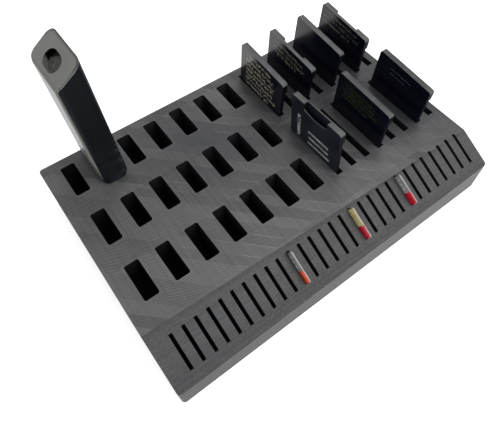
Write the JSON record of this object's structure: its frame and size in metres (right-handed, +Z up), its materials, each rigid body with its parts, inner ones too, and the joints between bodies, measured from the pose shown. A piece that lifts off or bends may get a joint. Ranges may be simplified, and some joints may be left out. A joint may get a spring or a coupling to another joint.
{
  "type": "memory card rack",
  "caption": "Low desk rack with sockets for memory sticks, slots for memory cards and small slots along a sloped front, holding a stick, cards and an adapter.",
  "frame": {"origin": "middle of the tray's flat underside", "axes": "+X to the right along the tray's long side, seen from the sloped front; +Y to the back; +Z up"},
  "size_m": [0.1296, 0.0879, 0.0684],
  "materials": {
    "tray_plastic": "matte",
    "stick_plastic": "satin",
    "stick_plate": "satin",
    "plug_steel": "satin",
    "plug_insulator": "matte",
    "gold_contact": "polished",
    "board_laminate": "satin",
    "chip_resin": "matte",
    "card_shell": "satin",
    "adapter_shell": "satin",
    "lock_plastic": "matte",
    "label_film": "satin",
    "micro_shell": "satin"
  },
  "bodies": {
    "tray": {"tray": "tray_plastic"},
    "stick": {"stick_housing": "stick_plastic", "stick_face_plate": "stick_plate", "stick_plug_shell": "plug_steel", "stick_plug_tongue": "plug_insulator", "stick_plug_contacts": "gold_contact", "stick_circuit_board": "board_laminate", "stick_memory_chip": "chip_resin", "stick_controller_chip": "chip_resin"},
    "card_a": {"card_a_back_shell": "card_shell", "card_a_front_shell": "card_shell", "card_a_circuit_board": "board_laminate", "card_a_contacts": "gold_contact", "card_a_label": "label_film"},
    "card_a_lock_tab": {"card_a_lock_tab": "lock_plastic"},
    "card_b": {"card_b_back_shell": "card_shell", "card_b_front_shell": "card_shell", "card_b_circuit_board": "board_laminate", "card_b_contacts": "gold_contact", "card_b_label": "label_film"},
    "card_b_lock_tab": {"card_b_lock_tab": "lock_plastic"},
    "card_c": {"card_c_back_shell": "card_shell", "card_c_front_shell": "card_shell", "card_c_circuit_board": "board_laminate", "card_c_contacts": "gold_contact", "card_c_label": "label_film"},
    "card_c_lock_tab": {"card_c_lock_tab": "lock_plastic"},
    "card_d": {"card_d_back_shell": "card_shell", "card_d_front_shell": "card_shell", "card_d_circuit_board": "board_laminate", "card_d_contacts": "gold_contact", "card_d_label": "label_film"},
    "card_d_lock_tab": {"card_d_lock_tab": "lock_plastic"},
    "card_e": {"card_e_back_shell": "card_shell", "card_e_front_shell": "card_shell", "card_e_circuit_board": "board_laminate", "card_e_contacts": "gold_contact", "card_e_label": "label_film"},
    "card_e_lock_tab": {"card_e_lock_tab": "lock_plastic"},
    "card_f": {"card_f_back_shell": "card_shell", "card_f_front_shell": "card_shell", "card_f_circuit_board": "board_laminate", "card_f_contacts": "gold_contact", "card_f_label": "label_film"},
    "card_f_lock_tab": {"card_f_lock_tab": "lock_plastic"},
    "adapter": {"adapter_back_shell": "adapter_shell", "adapter_front_shell": "adapter_shell", "adapter_contacts": "gold_contact"},
    "adapter_lock_tab": {"adapter_lock_tab": "lock_plastic"},
    "micro_a": {"micro_a_body": "micro_shell", "micro_a_contacts": "gold_contact"},
    "micro_b": {"micro_b_body": "micro_shell", "micro_b_contacts": "gold_contact"},
    "micro_c": {"micro_c_body": "micro_shell", "micro_c_contacts": "gold_contact"}
  },
  "joints": [
    {"name": "stick_pull", "type": "slide", "parent": "tray", "child": "stick", "axis": [-0.0244, 0.0331, 0.9992], "range_m": [0, 0.015]},
    {"name": "card_a_pull", "type": "slide", "parent": "tray", "child": "card_a", "axis": [0.003, -0.0742, 0.9972], "range_m": [0, 0.018]},
    {"name": "card_a_lock", "type": "slide", "parent": "card_a", "child": "card_a_lock_tab", "axis": [0.003, -0.0742, 0.9972], "range_m": [0, 0.0022]},
    {"name": "card_b_pull", "type": "slide", "parent": "tray", "child": "card_b", "axis": [-0.0079, -0.0848, 0.9964], "range_m": [0, 0.018]},
    {"name": "card_b_lock", "type": "slide", "parent": "card_b", "child": "card_b_lock_tab", "axis": [-0.0079, -0.0848, 0.9964], "range_m": [0, 0.0022]},
    {"name": "card_c_pull", "type": "slide", "parent": "tray", "child": "card_c", "axis": [0.0139, -0.0795, 0.9967], "range_m": [0, 0.018]},
    {"name": "card_c_lock", "type": "slide", "parent": "card_c", "child": "card_c_lock_tab", "axis": [0.0139, -0.0795, 0.9967], "range_m": [0, 0.0022]},
    {"name": "card_d_pull", "type": "slide", "parent": "tray", "child": "card_d", "axis": [0.002, -0.0817, 0.9967], "range_m": [0, 0.018]},
    {"name": "card_d_lock", "type": "slide", "parent": "card_d", "child": "card_d_lock_tab", "axis": [0.002, -0.0817, 0.9967], "range_m": [0, 0.0022]},
    {"name": "card_e_pull", "type": "slide", "parent": "tray", "child": "card_e", "axis": [-0.0079, -0.0552, 0.9984], "range_m": [0, 0.018]},
    {"name": "card_e_lock", "type": "slide", "parent": "card_e", "child": "card_e_lock_tab", "axis": [-0.0079, -0.0552, 0.9984], "range_m": [0, 0.0022]},
    {"name": "card_f_pull", "type": "slide", "parent": "tray", "child": "card_f", "axis": [-0.0159, -0.0732, 0.9972], "range_m": [0, 0.018]},
    {"name": "card_f_lock", "type": "slide", "parent": "card_f", "child": "card_f_lock_tab", "axis": [-0.0159, -0.0732, 0.9972], "range_m": [0, 0.0022]},
    {"name": "adapter_pull", "type": "slide", "parent": "tray", "child": "adapter", "axis": [-0.0179, 0.0446, 0.9988], "range_m": [0, 0.018]},
    {"name": "adapter_lock", "type": "slide", "parent": "adapter", "child": "adapter_lock_tab", "axis": [-0.0179, 0.0446, 0.9988], "range_m": [0, 0.0022]},
    {"name": "micro_a_pull", "type": "slide", "parent": "tray", "child": "micro_a", "axis": [0, -0.4414, 0.8973], "range_m": [0, 0.014]},
    {"name": "micro_b_pull", "type": "slide", "parent": "tray", "child": "micro_b", "axis": [0, -0.4414, 0.8973], "range_m": [0, 0.014]},
    {"name": "micro_c_pull", "type": "slide", "parent": "tray", "child": "micro_c", "axis": [0, -0.4414, 0.8973], "range_m": [0, 0.014]}
  ]
}
